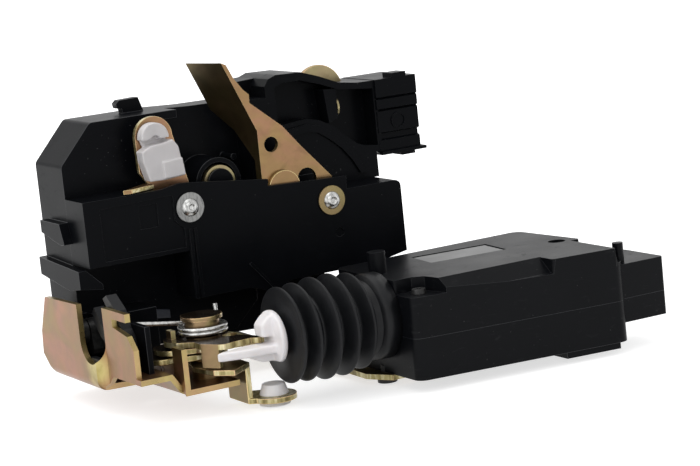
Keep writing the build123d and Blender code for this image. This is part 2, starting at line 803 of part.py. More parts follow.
arm_x = 18.3                # inner face of the inside lever's upright arm
arm_ys = (-59.4, -44.0)
pad_z = -5.0                # top of the pad
pad_at = (28.6, -59.5)
pad_r = 8.0
bush_r = 3.0
with BuildPart() as inside_lever:
    with BuildSketch(level(inside_z)):
        with BuildLine():
            Polyline(
                (3, -50), (5.5, -61), (10.7, -67), (arm_x + sheet, arm_ys[0]), (arm_x + sheet, arm_ys[1]),
                (17, -34), (7, -34), close=True)
        make_face()
        with Locations((pin_x, pin_y)):
            Circle(pin_r + fit, mode=Mode.SUBTRACT)
    extrude(amount=sheet)
    with BuildSketch(side(arm_x)):
        with Locations(((arm_ys[0] + arm_ys[1]) / 2, (pad_z - sheet + inside_z) / 2)):
            Rectangle(arm_ys[1] - arm_ys[0], inside_z - pad_z + sheet)
    extrude(amount=sheet)
    with BuildSketch(level(pad_z - sheet)):
        with Locations(pad_at):
            Circle(pad_r)
        with BuildLine():
            Polyline(
                (arm_x, arm_ys[0]), (pad_at[0], pad_at[1] - pad_r), (pad_at[0] + 4, pad_at[1] + 6.9),
                (arm_x, arm_ys[1]), close=True)
        make_face()
        with Locations(pad_at):
            Circle(bush_r, mode=Mode.SUBTRACT)
    extrude(amount=sheet)
save(inside_lever, "inside_lever")

with BuildPart() as inside_bush:
    with BuildSketch(level(pad_z - sheet - 1.6)):
        with Locations(pad_at):
            Circle(5.6)
    extrude(amount=1.6)
    with BuildSketch(level(pad_z - sheet)):
        with Locations(pad_at):
            Circle(bush_r)
    extrude(amount=sheet)
    with BuildSketch(level(pad_z)):
        with Locations(pad_at):
            Circle(5.3)
    extrude(amount=3.8, taper=18)
    with BuildSketch(level(pad_z - sheet - 1.6)):
        with Locations(pad_at):
            Circle(1.5)
    extrude(amount=5.0, mode=Mode.SUBTRACT)
save(inside_bush, "inside_bush")

with BuildPart() as transfer_lever:
    with BuildSketch(level(transfer_z)):
        with Locations((pin_x, pin_y)):
            Circle(8)
        with Locations((-2.8, -38)):
            Circle(7)
        with BuildLine():
            Polyline((pin_x, pin_y + 8), (-2.8, -31), (-2.8, -45), (pin_x, pin_y - 8), close=True)
        make_face()
        with Locations((pin_x, pin_y)):
            Circle(pin_r + fit, mode=Mode.SUBTRACT)
    extrude(amount=sheet)
save(transfer_lever, "transfer_lever")

with BuildPart() as middle_lever:
    with BuildSketch(level(middle_z)):
        with Locations((pin_x, pin_y)):
            Circle(8.5)
        with Locations((2.6, -38)):
            Circle(8)
        with BuildLine():
            Polyline((pin_x, pin_y + 8.5), (2.6, -30), (2.6, -46), (pin_x, pin_y - 8.5), close=True)
        make_face()
        with Locations((pin_x, pin_y)):
            Circle(pin_r + fit, mode=Mode.SUBTRACT)
    extrude(amount=sheet)
save(middle_lever, "middle_lever")

tab_left = (3.4, -57.0)
tab_right = (7.2, -63.2)
tab_floor_z = 8.8
with BuildPart() as lock_lever:
    with BuildSketch(level(lock_z)):
        with Locations((5, -42)):
            Circle(8)
        with Locations((pin_x, pin_y)):
            Circle(9)
        with BuildLine():
            Polyline(
                (-2.6, -44), (-1.4, -47.6), (1.6, -50), (3.4, -52), tab_left, tab_right, (9, -64.6),
                (15.2, -63.4), (20, -63.2), (22.4, -65.6), (24.4, -64.8), (22.9, -60), (21, -56),
                (21.4, -50), (20, -45), (14, -33.4), (5, -34.4), close=True)
        make_face()
        with Locations((17.8, -51)):
            Circle(2.6, mode=Mode.SUBTRACT)
        with Locations((pin_x, pin_y)):
            Circle(pin_r + fit, mode=Mode.SUBTRACT)
    extrude(amount=sheet)
    # tab bent down along the slanting front edge
    with BuildSketch(level(tab_floor_z)):
        with BuildLine():
            Polyline(
                tab_left, tab_right, (tab_right[0] + 1.7, tab_right[1] + 1), (tab_left[0] + 1.7, tab_left[1] + 1),
                close=True)
        make_face()
    extrude(amount=lock_z - tab_floor_z)
    # stop bent up beside the coil
    with BuildSketch(level(lock_z + sheet)):
        with Locations((1, -38.4)):
            Rectangle(1.8, 4)
    extrude(amount=3)
save(lock_lever, "lock_lever")

low_turn_z = coil_z + coil_wire / 2
high_turn_z = low_turn_z + 0.9 * coil_wire
coil_back = (pin_x, pin_y + coil_r)
leg_start = Vector(*coil_back, high_turn_z)
wall_hook = Vector(back_x + carrier_wall + 0.8, -30.4, 23.4)
with BuildPart() as lever_spring:
    for z in (low_turn_z, high_turn_z):
        with BuildSketch(front(pin_y)):
            with Locations((pin_x + coil_r, z)):
                Circle(coil_wire / 2)
        revolve(axis=Axis((pin_x, pin_y, 0), (0, 0, 1)))
    # leg to the wall behind the claw
    with BuildLine():
        Line(leg_start, wall_hook)
    with BuildSketch(Plane(origin=leg_start, z_dir=wall_hook - leg_start)):
        Circle(coil_wire / 2)
    sweep()
    # leg with the upturned end
    with BuildLine():
        Polyline((*coil_back, low_turn_z), (23.4, -30, low_turn_z), (23.8, -28.6, 24.6))
    with BuildSketch(Plane(origin=(*coil_back, low_turn_z), z_dir=(11.4, 3.4, 0))):
        Circle(coil_wire / 2)
    sweep(transition=Transition.RIGHT)
save(lever_spring, "lever_spring")

# ---------------------------------------------------------------- link and rod
with BuildPart() as rod_link:
    with BuildSketch(side(link_x)):
        with Locations((rod_y, rod_z)):
            Circle(link_disc_r)
        with Locations((rod_y, inside_z + sheet + play - 5)):
            Rectangle(2 * link_disc_r, 10, mode=Mode.SUBTRACT)
    extrude(amount=link_disc_t)
    # rounded nub above the lock lever's tip
    with BuildSketch(front(rod_y - nub_half)):
        with BuildLine():
            Polyline(
                (link_x, lock_z + sheet + play), (link_x, rod_z + 8.6), (link_x - 1.6, rod_z + 8.2),
                (link_x - 4.4, rod_z + 5.4), (link_x - 4.4, lock_z + sheet + play), close=True)
        make_face()
    extrude(amount=-2 * nub_half)
    # prong below it, with a gusset
    with BuildSketch(level(lock_z - play - prong_t)):
        with BuildLine():
            Polyline(
                (link_x, rod_y - 5.5), (link_x, rod_y + 3.6), (link_x - 10, rod_y + 3),
                (link_x - link_reach, rod_y + 0.2), (link_x - link_reach - 1.4, rod_y - 1),
                (link_x - link_reach, rod_y - 2), (link_x - 10, rod_y - 5), close=True)
        make_face()
    extrude(amount=prong_t)
    with BuildSketch(front(rod_y - 2)):
        with BuildLine():
            Polyline(
                (link_x, inside_z + sheet + 2 * play), (link_x, lock_z - 1), (link_x - 11, lock_z - 1),
                (link_x - 11, lock_z - play - prong_t), (link_x - 4, inside_z + sheet + 2 * play), close=True)
        make_face()
    extrude(amount=-2.4)
save(rod_link, "rod_link")

rack_x = actuator_x + shell_wall + rod_stroke + 0.6     # stays inside the shell over the whole stroke
rack_teeth = 9
rack_pitch = 2.5
rack_height = 4.0
rod_end_x = rack_x + rack_teeth * rack_pitch + 0.5
with BuildPart() as push_rod:
    with BuildSketch(side(link_x + link_disc_t)):
        with Locations((rod_y, rod_z)):
            Circle(rod_r)
    extrude(amount=rod_end_x - link_x - link_disc_t)
    # toothed rack along the inner end
    with BuildSketch(level(rod_z - rack_height / 2)):
        with Locations(((rack_x + rod_end_x) / 2, rod_y + rod_r - 0.2)):
            Rectangle(rod_end_x - rack_x, 1.0)
        for tooth in range(rack_teeth):
            with Locations((rack_x + (tooth + 0.5) * rack_pitch, rod_y + rod_r + 0.6)):
                Rectangle(rack_pitch / 2, 0.8)
    extrude(amount=rack_height)
save(push_rod, "push_rod")

# bellows: sharp convolutions between a front disc and a cuff
bellows_bulge = (0.0, 0.4, 1.2, 1.2, 0.2)   # how far each turn stands above the first
valley_r = 12.0
cuff_x = bellows_x + bellows_turns * bellows_pitch


def bellows_wave(inner):
    """Points of the convolutions, outside or inside, from the front."""
    wave = []
    for turn in range(bellows_turns):
        x = bellows_x + turn * bellows_pitch
        crest = bellows_r + bellows_bulge[turn]
        if inner:
            wave += [(x + 1.0, crest - bellows_wall), (x + 1.3, crest - bellows_wall)]
            wave += [(x + 3.7, valley_r - bellows_wall), (x + 5.9, valley_r - bellows_wall)]
        else:
            wave += [(x, crest), (x + 2.2, crest), (x + 4.4, valley_r), (x + 5.2, valley_r)]
    return wave


with BuildPart() as bellows:
    with BuildSketch(Plane.XY):
        with BuildLine():
            Polyline(
                (bellows_x, rod_r + 0.4), *bellows_wave(False), (cuff_x, cuff_r), (actuator_x, cuff_r),
                (actuator_x, cuff_r - bellows_wall), (cuff_x + 0.8, cuff_r - bellows_wall),
                *reversed(bellows_wave(True)), (bellows_x + bellows_wall, rod_r + 0.4), close=True)
        make_face()
    revolve(axis=Axis.X)
bellows.part.locate(Location((0, rod_y, rod_z)))
save(bellows, "bellows")

# ---------------------------------------------------------------- actuator
top_outline = (
    (actuator_x, -90), (actuator_end_x, -99), (actuator_end_x + 1, -73), (actuator_end_x - 3, -33), (actuator_x, -35))
roof_t = 6.5                # solid roof, deep enough for the pockets in it
corner_at = (77.2, -83.6)   # screw pocket at the front left corner
corner_z = actuator_top_z - 5
corner_post_r = 4.4
lid_screw_r = 1.5
lid_screw_length = 9.0
through_at = (148, -66)     # fixing hole through both shells
through_r = 3.25
post_r = 3.25


def actuator_outline(inset=0.0):
    """Face of the actuator seen from above."""
    with BuildSketch(level(actuator_floor_z)) as face:
        with BuildLine():
            Polyline(*top_outline, close=True)
        make_face()
        fillet(face.vertices(), 4)
        if inset:
            offset(amount=-inset, mode=Mode.REPLACE)
    return face.sketch


socket = (159.0, -92.0, -76.0, 4.5, 20.0)    # floor X, Y range and Z range of the socket
connector_root_x = actuator_end_x - 1   # where the connector grows from the shells
terminal_x = actuator_end_x - 5         # inner ends of the terminals
terminal_reach = 9.0        # how far the blades stand in the socket
connector_ys = (-96.0, -71.5)
connector_zs = (1.5, 23.0)
blade_ys = (-88.0, -84.0, -80.0)
blade_z = 12.0


def connector_half(z_low, z_high):
    """Connector body between two heights, hollowed for the plug."""
    with BuildPart() as half:
        with BuildSketch(level(z_low)):
            with Locations(((connector_root_x + connector_x) / 2, sum(connector_ys) / 2)):
                Rectangle(connector_x - connector_root_x, connector_ys[1] - connector_ys[0])
        extrude(amount=z_high - z_low)
        with BuildSketch(level(max(z_low, socket[3]))):
            with Locations(((socket[0] + connector_x) / 2, (socket[1] + socket[2]) / 2)):
                Rectangle(connector_x - socket[0], socket[2] - socket[1])
        extrude(amount=min(z_high, socket[4]) - max(z_low, socket[3]), mode=Mode.SUBTRACT)
    return half.part


with BuildPart() as upper_shell:
    add(actuator_outline().moved(Location((0, 0, actuator_split_z - actuator_floor_z))))
    extrude(amount=actuator_top_z - actuator_split_z)
    add(actuator_outline(shell_wall).moved(Location((0, 0, actuator_split_z - actuator_floor_z))))
    extrude(amount=actuator_top_z - actuator_split_z - roof_t, mode=Mode.SUBTRACT)
    with BuildSketch(level(actuator_top_z - 0.6)):
        with Locations(Location((113.5, -52.5), -5)):
            Rectangle(31, 17)
    extrude(amount=0.6, mode=Mode.SUBTRACT)
    with BuildSketch(level(actuator_top_z)):
        with Locations((75, -59.3)):
            Circle(post_r)
    extrude(amount=8)
    with BuildSketch(level(actuator_split_z)):
        with Locations(through_at):
            Circle(5.5)
    extrude(amount=actuator_top_z - actuator_split_z)
    with BuildSketch(level(actuator_split_z)):
        with Locations(through_at):
            Circle(through_r)
    extrude(amount=actuator_top_z - actuator_split_z, mode=Mode.SUBTRACT)
    # post under the corner pocket, and the sloping edge beside it
    with BuildSketch(level(actuator_split_z)):
        with Locations(corner_at):
            Circle(corner_post_r)
    extrude(amount=corner_z - actuator_split_z)
    with BuildSketch(level(corner_z)):
        with BuildLine():
            Polyline((actuator_x - 1, -92), (84, -92), (82, -80), (78, -77.5), (actuator_x - 1, -78), close=True)
        make_face()
    extrude(amount=6, mode=Mode.SUBTRACT)
    with BuildSketch(level(corner_z)):
        with Locations(corner_at):
            Circle(lid_screw_r)
    extrude(amount=-lid_screw_length, mode=Mode.SUBTRACT)
    with BuildSketch(side(83)):
        with BuildLine():
            Polyline((-101, 31), (-101, 24), (-94, 25), (-87.5, 30), (-87.5, 31), close=True)
        make_face()
    extrude(amount=43, mode=Mode.SUBTRACT)
    # lower step at the connector's end, with its post
    with BuildSketch(front(-70)):
        with Locations((156.5, 28)):
            Rectangle(10, 6.8)
    extrude(amount=32, mode=Mode.SUBTRACT)
    with BuildSketch(level(connector_zs[1])):
        with Locations((157.4, -91.5)):
            Circle(2)
    extrude(amount=7.4)
    with BuildSketch(side(actuator_x)):
        with Locations((rod_y, rod_z)):
            Circle(rod_r + 0.4)
    extrude(amount=6, mode=Mode.SUBTRACT)
    add(connector_half(actuator_split_z, connector_zs[1]))
    with BuildSketch(side(terminal_x)):
        for y in blade_ys:
            with Locations((y, blade_z)):
                Rectangle(2.4, 0.8)
    extrude(amount=socket[0] - terminal_x, mode=Mode.SUBTRACT)
save(upper_shell, "upper_shell")

with BuildPart() as lower_shell:
    add(actuator_outline())
    extrude(amount=actuator_split_z - actuator_floor_z)
    add(actuator_outline(shell_wall).moved(Location((0, 0, shell_wall))))
    extrude(amount=actuator_split_z - actuator_floor_z - shell_wall, mode=Mode.SUBTRACT)
    with BuildSketch(level(actuator_split_z)):
        with Locations(through_at):
            Circle(5.5)
    extrude(amount=-(actuator_split_z - actuator_floor_z))
    with BuildSketch(level(actuator_split_z)):
        with Locations(through_at):
            Circle(through_r)
    extrude(amount=-(actuator_split_z - actuator_floor_z), mode=Mode.SUBTRACT)
    # deeper floor near the connector's end
    with BuildSketch(level(actuator_floor_z - 2.3)):
        with BuildLine():
            Polyline((128.8, -95.8), (150.8, -98), (150.8, -34), (128.8, -34), close=True)
        make_face()
        with Locations(through_at):
            Circle(through_r, mode=Mode.SUBTRACT)
    extrude(amount=2.3)
    with BuildSketch(level(actuator_floor_z)):
        with Locations(*bracket_screws_at):
            Circle(screw_r)
    extrude(amount=shell_wall, mode=Mode.SUBTRACT)
    add(connector_half(connector_zs[0], actuator_split_z))
save(lower_shell, "lower_shell")

# screw that holds the lid in the corner pocket
with BuildPart() as lid_screw:
    with BuildSketch(level(corner_z - lid_screw_length)):
        with Locations(corner_at):
            Circle(lid_screw_r)
    extrude(amount=lid_screw_length)
    with BuildSketch(level(corner_z)):
        with Locations(corner_at):
            Circle(2.8)
    extrude(amount=1.8, taper=12)
    with BuildSketch(level(corner_z + 0.8)):
        with Locations(corner_at):
            Rectangle(3.2, 0.7)
            Rectangle(0.7, 3.2)
    extrude(amount=1.4, mode=Mode.SUBTRACT)
save(lid_screw, "lid_screw")

with BuildPart() as connector_terminals:
    with BuildSketch(side(terminal_x)):
        for y in blade_ys:
            with Locations((y, blade_z)):
                Rectangle(2.4, 0.8)
    extrude(amount=socket[0] + terminal_reach - terminal_x)
save(connector_terminals, "connector_terminals")

# bracket between the base sheet and the actuator
with BuildPart() as actuator_bracket:
    with BuildSketch(front(20)):
        with BuildLine():
            Polyline(
                (10, sheet), (50, sheet), (58, actuator_floor_z - sheet), (66, actuator_floor_z - sheet),
                (66, actuator_floor_z), (59, actuator_floor_z), (51, 2 * sheet), (10, 2 * sheet), close=True)
        make_face()
    extrude(amount=27)
    with BuildSketch(level(actuator_floor_z - sheet)):
        with BuildLine():
            Polyline((58, 20), (58, -7), (65, -42), (64.5, -62), (70, -72), (96, -72), (96, 20), close=True)
        make_face()
    extrude(amount=sheet)
    with BuildSketch(level(actuator_floor_z - sheet)):
        with Locations(*bracket_screws_at):
            Circle(screw_r)
    extrude(amount=sheet, mode=Mode.SUBTRACT)
    with BuildSketch(level(sheet)):
        with Locations(*bracket_rivets_at):
            Circle(screw_r)
    extrude(amount=sheet, mode=Mode.SUBTRACT)
save(actuator_bracket, "actuator_bracket")

# screws that fasten the actuator to its bracket, from below
with BuildPart() as bracket_screws:
    with BuildSketch(level(actuator_floor_z - sheet)):
        with Locations(*bracket_screws_at):
            Circle(3.6)
    extrude(amount=-2.0)
    with BuildSketch(level(actuator_floor_z - sheet)):
        with Locations(*bracket_screws_at):
            Circle(screw_r)
    extrude(amount=sheet + shell_wall)
save(bracket_screws, "bracket_screws")

# rivets through the bracket and the base sheet
with BuildPart() as bracket_rivets:
    with BuildSketch(level(0)):
        with Locations(*bracket_rivets_at):
            Circle(screw_r)
    extrude(amount=2 * sheet)
    with BuildSketch(level(2 * sheet)):
        with Locations(*bracket_rivets_at):
            Circle(3.4)
    extrude(amount=1.6, taper=25)
save(bracket_rivets, "bracket_rivets")

# electric motor, its worm and the gear that drives the rod's rack
gear_at = (92.0, -57.5)
gear_big_r = 8.0
gear_small_r = 3.9
gear_bore_r = 1.5
gear_t = 4.0
tooth_depth = 0.8
motor_y = -45.0
motor_z = 8.0
motor_r = 8.0
motor_x = 106.0
motor_length = 32.0
shaft_r = 1.2
worm_r = 3.4
worm_x = 86.0
worm_turns = 6
worm_pitch = 2.4
with BuildPart() as motor:
    # flattened can with its bearing boss and shaft
    with BuildSketch(side(motor_x)):
        with Locations((motor_y, motor_z)):
            Circle(motor_r)
            Rectangle(2 * motor_r, 1.7 * motor_r, mode=Mode.INTERSECT)
    extrude(amount=motor_length)
    with BuildSketch(side(motor_x - 1.6)):
        with Locations((motor_y, motor_z)):
            Circle(3)
    extrude(amount=1.6)
    with BuildSketch(side(worm_x - 2)):
        with Locations((motor_y, motor_z)):
            Circle(shaft_r)
    extrude(amount=motor_x - worm_x + 4)
save(motor, "motor")

with BuildPart() as motor_worm:
    with BuildSketch(side(worm_x)):
        with Locations((motor_y, motor_z)):
            Circle(worm_r - tooth_depth)
    extrude(amount=worm_turns * worm_pitch)
    for turn in range(worm_turns):
        with BuildSketch(side(worm_x + (turn + 0.25) * worm_pitch)):
            with Locations((motor_y, motor_z)):
                Circle(worm_r)
        extrude(amount=worm_pitch / 2)
    with BuildSketch(side(worm_x)):
        with Locations((motor_y, motor_z)):
            Circle(shaft_r + fit)
    extrude(amount=worm_turns * worm_pitch, mode=Mode.SUBTRACT)
save(motor_worm, "motor_worm")

with BuildPart() as gear_wheel:
    # large wheel beside the worm, small one beside the rack
    for radius, teeth, z_low, z_high in (
            (gear_big_r, 24, motor_z - gear_t / 2, motor_z + gear_t / 2),
            (gear_small_r, 10, motor_z + gear_t / 2, rod_z + rack_height / 2)):
        with BuildSketch(level(z_low)):
            with Locations(gear_at):
                Circle(radius - tooth_depth)
                with PolarLocations(radius - tooth_depth / 2 - 0.1, teeth):
                    Rectangle(tooth_depth + 0.2, 3.14 * radius / teeth)
        extrude(amount=z_high - z_low)
    with BuildSketch(level(motor_z - gear_t / 2)):
        with Locations(gear_at):
            Circle(gear_bore_r + fit)
    extrude(amount=rod_z, mode=Mode.SUBTRACT)
save(gear_wheel, "gear_wheel")

with BuildPart() as gear_pin:
    with BuildSketch(level(actuator_floor_z + shell_wall)):
        with Locations(gear_at):
            Circle(gear_bore_r)
    extrude(amount=actuator_top_z - roof_t - actuator_floor_z - shell_wall)
save(gear_pin, "gear_pin")
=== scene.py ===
import json
from math import cos, pi, radians, sin

import bmesh
import bpy
from mathutils import Matrix, Vector
from mathutils.bvhtree import BVHTree


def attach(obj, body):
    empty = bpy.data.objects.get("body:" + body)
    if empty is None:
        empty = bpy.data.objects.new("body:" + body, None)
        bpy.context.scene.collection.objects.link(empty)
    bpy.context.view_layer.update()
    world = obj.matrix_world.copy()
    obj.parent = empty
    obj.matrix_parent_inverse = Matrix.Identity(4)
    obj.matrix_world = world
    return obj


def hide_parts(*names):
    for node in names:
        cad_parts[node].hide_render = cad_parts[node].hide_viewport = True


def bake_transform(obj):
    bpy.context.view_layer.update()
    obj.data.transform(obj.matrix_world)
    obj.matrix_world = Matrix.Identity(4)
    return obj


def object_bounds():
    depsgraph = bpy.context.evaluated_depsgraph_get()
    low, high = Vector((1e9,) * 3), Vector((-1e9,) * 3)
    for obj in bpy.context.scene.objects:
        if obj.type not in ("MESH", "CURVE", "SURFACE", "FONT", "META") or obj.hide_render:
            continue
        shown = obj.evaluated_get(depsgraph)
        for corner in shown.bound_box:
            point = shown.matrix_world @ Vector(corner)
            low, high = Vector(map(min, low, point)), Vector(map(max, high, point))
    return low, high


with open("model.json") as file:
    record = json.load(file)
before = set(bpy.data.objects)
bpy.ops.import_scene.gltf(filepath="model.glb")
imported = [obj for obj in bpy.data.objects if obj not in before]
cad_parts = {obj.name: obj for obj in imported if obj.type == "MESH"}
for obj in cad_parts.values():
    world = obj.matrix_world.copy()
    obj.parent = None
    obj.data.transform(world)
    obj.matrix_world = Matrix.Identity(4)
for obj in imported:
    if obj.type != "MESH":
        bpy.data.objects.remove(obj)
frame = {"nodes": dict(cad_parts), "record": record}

# A car door's latch with its lock actuator: materials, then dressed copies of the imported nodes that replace
# them, then a few small pieces that the solids leave out, then the studio and the photograph's view.
cad_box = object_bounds()
scene = bpy.context.scene
MM = 0.001                      # Blender works in metres; sizes in the tables below are millimetres


# ---------------------------------------------------------------- node helpers
def grey(level):
    return (level, level, level)


def tint(level, red, green, blue):
    return (level * red, level * green, level * blue)


def plug(tree, value, socket):
    """Links another node's socket, or sets a plain value."""
    if isinstance(value, bpy.types.NodeSocket):
        tree.links.new(value, socket)
    elif socket.type == "RGBA" and len(value) == 3:
        socket.default_value = (*value, 1)
    else:
        socket.default_value = value


def add_node(tree, kind, **inputs):
    """A new node, with its inputs by name."""
    node = tree.nodes.new(kind)
    for key, value in inputs.items():
        plug(tree, value, node.inputs[key.replace("_", " ")])
    return node


def combine(tree, kind, *values, operation=None):
    """A new node, with its inputs in their order."""
    node = tree.nodes.new(kind)
    if operation is not None:
        node.operation = operation
    for value, socket in zip(values, node.inputs):
        plug(tree, value, socket)
    return node


class Shader:
    """A material with its Principled shader and short calls to wire it.

    A noise's scale is per metre, so that 1000 gives marks about 1 mm apart, and a bump's distance is in
    metres. A stretch under 1 draws the marks out along that axis."""

    def __init__(self, name, metallic=0.0):
        self.material = bpy.data.materials.new(name)
        self.material.use_nodes = True
        self.tree = self.material.node_tree
        self.bsdf = self.tree.nodes["Principled BSDF"]
        self.bsdf.inputs["Metallic"].default_value = metallic
        self.place = self.tree.nodes.new("ShaderNodeTexCoord").outputs["Object"]

    def noise(self, scale, detail=3.0, stretch=(1, 1, 1), distortion=0.0):
        at = add_node(self.tree, "ShaderNodeMapping", Vector=self.place, Scale=stretch)
        node = add_node(self.tree, "ShaderNodeTexNoise", Vector=at.outputs[0], Scale=scale, Detail=detail,
                        Distortion=distortion)
        return node.outputs["Fac"]

    def ramp(self, fac, *stops):
        """Colour ramp; each stop is (position, colour)."""
        node = add_node(self.tree, "ShaderNodeValToRGB", Fac=fac)
        ramp = node.color_ramp
        while len(ramp.elements) < len(stops):
            ramp.elements.new(0.5)
        for element, (position, colour) in zip(ramp.elements, stops):
            element.position = position
            element.color = (*colour, 1)
        return node.outputs["Color"]

    def mask(self, fac, low, high):
        """Black where fac is under low, and white over high."""
        return self.ramp(fac, (low, grey(0)), (high, grey(1)))

    def mix(self, fac, a, b, mode="MIX"):
        """Colour a with b over it by fac. The node also has sockets for numbers and vectors."""
        fac_socket, a_socket, b_socket, result_socket = 0, 6, 7, 2
        node = self.tree.nodes.new("ShaderNodeMix")
        node.data_type = "RGBA"
        node.blend_type = mode
        for value, socket in ((fac, fac_socket), (a, a_socket), (b, b_socket)):
            plug(self.tree, value, node.inputs[socket])
        return node.outputs[result_socket]

    def scale(self, fac, low, high):
        """fac's 0 to 1 spread over low to high."""
        return add_node(self.tree, "ShaderNodeMapRange", Value=fac, To_Min=low, To_Max=high).outputs[0]

    def bump(self, height, strength, distance):
        node = add_node(self.tree, "ShaderNodeBump", Height=height, Strength=strength, Distance=distance)
        return node.outputs["Normal"]

    def connect(self, **sockets):
        for key, value in sockets.items():
            self.tree.links.new(value, self.bsdf.inputs[key.replace("_", " ")])


# ---------------------------------------------------------------- materials
def black_plastic(name="black_plastic", level=0.004, rough=(0.24, 0.38), grain=0.22, shine=0.042,
                  smear=0.03):
    """Moulded black nylon: faint grain, slow sheen changes, pale scuffs and dust. level is its grey, grain
    the bump's strength and smear the scuffs' share of the colour."""
    scuff_grey, dust_grey, dust_share, scuff_rough = (0.10, 0.10, 0.105), grey(0.16), 0.25, 0.15
    m = Shader(name)
    m.bsdf.inputs["Specular IOR Level"].default_value = shine
    fine = m.noise(2400, detail=4)
    slow = m.noise(60, detail=3)
    scuff = m.noise(210, detail=6, stretch=(1, 1, 3), distortion=0.7)
    dust = m.noise(900, detail=2)
    colour = m.ramp(slow, (0.3, tint(level, 0.7, 0.8, 1.05)), (0.7, tint(level, 1, 1.1, 1.4)))
    marks = m.mask(scuff, 0.62, 0.80)
    colour = m.mix(m.scale(marks, 0, smear), colour, scuff_grey)
    colour = m.mix(m.scale(m.mask(dust, 0.735, 0.77), 0, dust_share), colour, dust_grey)
    roughness = combine(m.tree, "ShaderNodeMath", m.scale(slow, *rough), m.scale(marks, 0, scuff_rough),
                        operation="ADD")
    m.connect(Base_Color=colour, Roughness=roughness.outputs[0], Normal=m.bump(fine, grain, 0.00008))
    return m.material


def zinc_steel(name, tan, pink, olive, rough=(0.24, 0.42), yellow_spot=None):
    """Pressed steel with yellow chromate: tan with pink and olive drifts, stains and fine rolling
    marks. The last argument is (spot, reach): round that spot the colour turns yellower, in darker and
    lighter clouds."""
    shaded, stain_brown, stain_share = 0.74, (0.09, 0.06, 0.025), 0.3
    spot_dark, spot_light, spot_core = (0.24, 0.18, 0.05), (0.52, 0.44, 0.18), 0.35
    m = Shader(name, metallic=0.9)
    drift = m.noise(36, detail=4, distortion=1.4)
    cloud = m.noise(140, detail=5, distortion=0.5)
    fine = m.noise(900, detail=5, stretch=(1, 1, 0.25))
    stain = m.noise(75, detail=6, distortion=1.0)
    colour = m.ramp(drift, (0.26, olive), (0.42, tan), (0.58, pink), (0.74, tan), (0.88, olive))
    colour = m.mix(1.0, colour, m.ramp(cloud, (0.28, grey(shaded)), (0.68, grey(1.0))), "MULTIPLY")
    colour = m.mix(m.scale(m.mask(stain, 0.64, 0.74), 0, stain_share), colour, stain_brown)
    if yellow_spot is not None:
        spot, reach = yellow_spot
        away = combine(m.tree, "ShaderNodeVectorMath", m.place, spot, operation="DISTANCE")
        close = add_node(m.tree, "ShaderNodeMapRange", Value=away.outputs["Value"], From_Min=reach,
                         From_Max=reach * spot_core)
        colour = m.mix(close.outputs[0], colour, m.ramp(cloud, (0.35, spot_dark), (0.62, spot_light)))
    m.connect(Base_Color=colour, Roughness=m.scale(cloud, *rough), Normal=m.bump(fine, 0.2, 0.00006))
    return m.material


def sheared_steel(name, stretch):
    """Cut edge of a pressed plate: brighter, with tear marks across its thickness."""
    torn, plain, burnished = (0.10, 0.075, 0.025), (0.40, 0.34, 0.15), (0.78, 0.72, 0.48)
    blot_brown, blot_share = (0.36, 0.29, 0.13), 0.4
    m = Shader(name, metallic=0.8)
    tear = m.noise(430, detail=5, stretch=stretch, distortion=0.3)
    blot = m.noise(90, detail=3)
    colour = m.ramp(tear, (0.34, torn), (0.50, plain), (0.66, burnished))
    colour = m.mix(m.scale(blot, 0, blot_share), colour, blot_brown)
    m.connect(Base_Color=colour, Roughness=m.scale(tear, 0.42, 0.26), Normal=m.bump(tear, 0.6, 0.0002))
    return m.material


def bright_steel(name="bright_steel", low=0.50, high=0.78):
    """Bright zinc with fine drawing marks."""
    m = Shader(name, metallic=1.0)
    fine = m.noise(1100, detail=4, stretch=(1, 1, 0.3))
    blot = m.noise(220, detail=4)
    colour = m.ramp(fine, (0.3, tint(low, 1, 1.01, 1.01)), (0.7, tint(high, 1, 1, 0.98)))
    m.connect(Base_Color=m.mix(m.scale(blot, 0, 0.3), colour, tint(low, 0.9, 0.88, 0.8)),
              Roughness=m.scale(fine, 0.2, 0.38), Normal=m.bump(fine, 0.15, 0.00005))
    return m.material


def white_nylon(name, level):
    """Milky nylon, a little translucent."""
    m = Shader(name)
    m.bsdf.inputs["Subsurface Weight"].default_value = 0.3
    m.bsdf.inputs["Subsurface Radius"].default_value = (0.002, 0.0018, 0.0016)
    m.bsdf.inputs["Subsurface Scale"].default_value = 1.0
    slow = m.noise(160, detail=3)
    colour = m.ramp(slow, (0.3, tint(level, 1, 0.965, 0.97)), (0.7, tint(level, 1.12, 1.08, 1.09)))
    m.connect(Base_Color=colour, Roughness=m.scale(slow, 0.30, 0.42),
              Normal=m.bump(m.noise(1200, detail=3), 0.12, 0.00005))
    return m.material


def plain_finish(name, dark, light, marks, rough, metallic=0.0, shine=None, grain=None):
    """A finish that drifts from dark to light with one noise. marks gives that noise's scale, detail
    and distortion and the ramp's two stops; grain gives the scale and detail of a bump's noise, and the
    bump's strength and distance."""
    scale, detail, distortion, low, high = marks
    m = Shader(name, metallic=metallic)
    if shine is not None:
        m.bsdf.inputs["Specular IOR Level"].default_value = shine
    drift = m.noise(scale, detail=detail, distortion=distortion)
    m.connect(Base_Color=m.ramp(drift, (low, dark), (high, light)), Roughness=m.scale(drift, *rough))
    if grain is not None:
        m.connect(Normal=m.bump(m.noise(grain[0], detail=grain[1]), *grain[2:]))
    return m.material


black = black_plastic()
shell_black = black_plastic("shell_plastic", level=0.0038, rough=(0.26, 0.42), grain=0.35, shine=0.085,
                            smear=0.09)
# painted highlight: a lighter black for the mouldings' rounded edges, for the light they catch
black_edge_highlight = black_plastic("black_edge_highlight", level=0.014, rough=(0.28, 0.40), grain=0.15, shine=0.5)
# painted shade: the stub under the housing is white nylon, coloured a dark grey for the shade it sits in
stub_painted_shade = black_plastic("stub_painted_shade", level=0.045, rough=(0.3, 0.4), grain=0.1, shine=0.4)
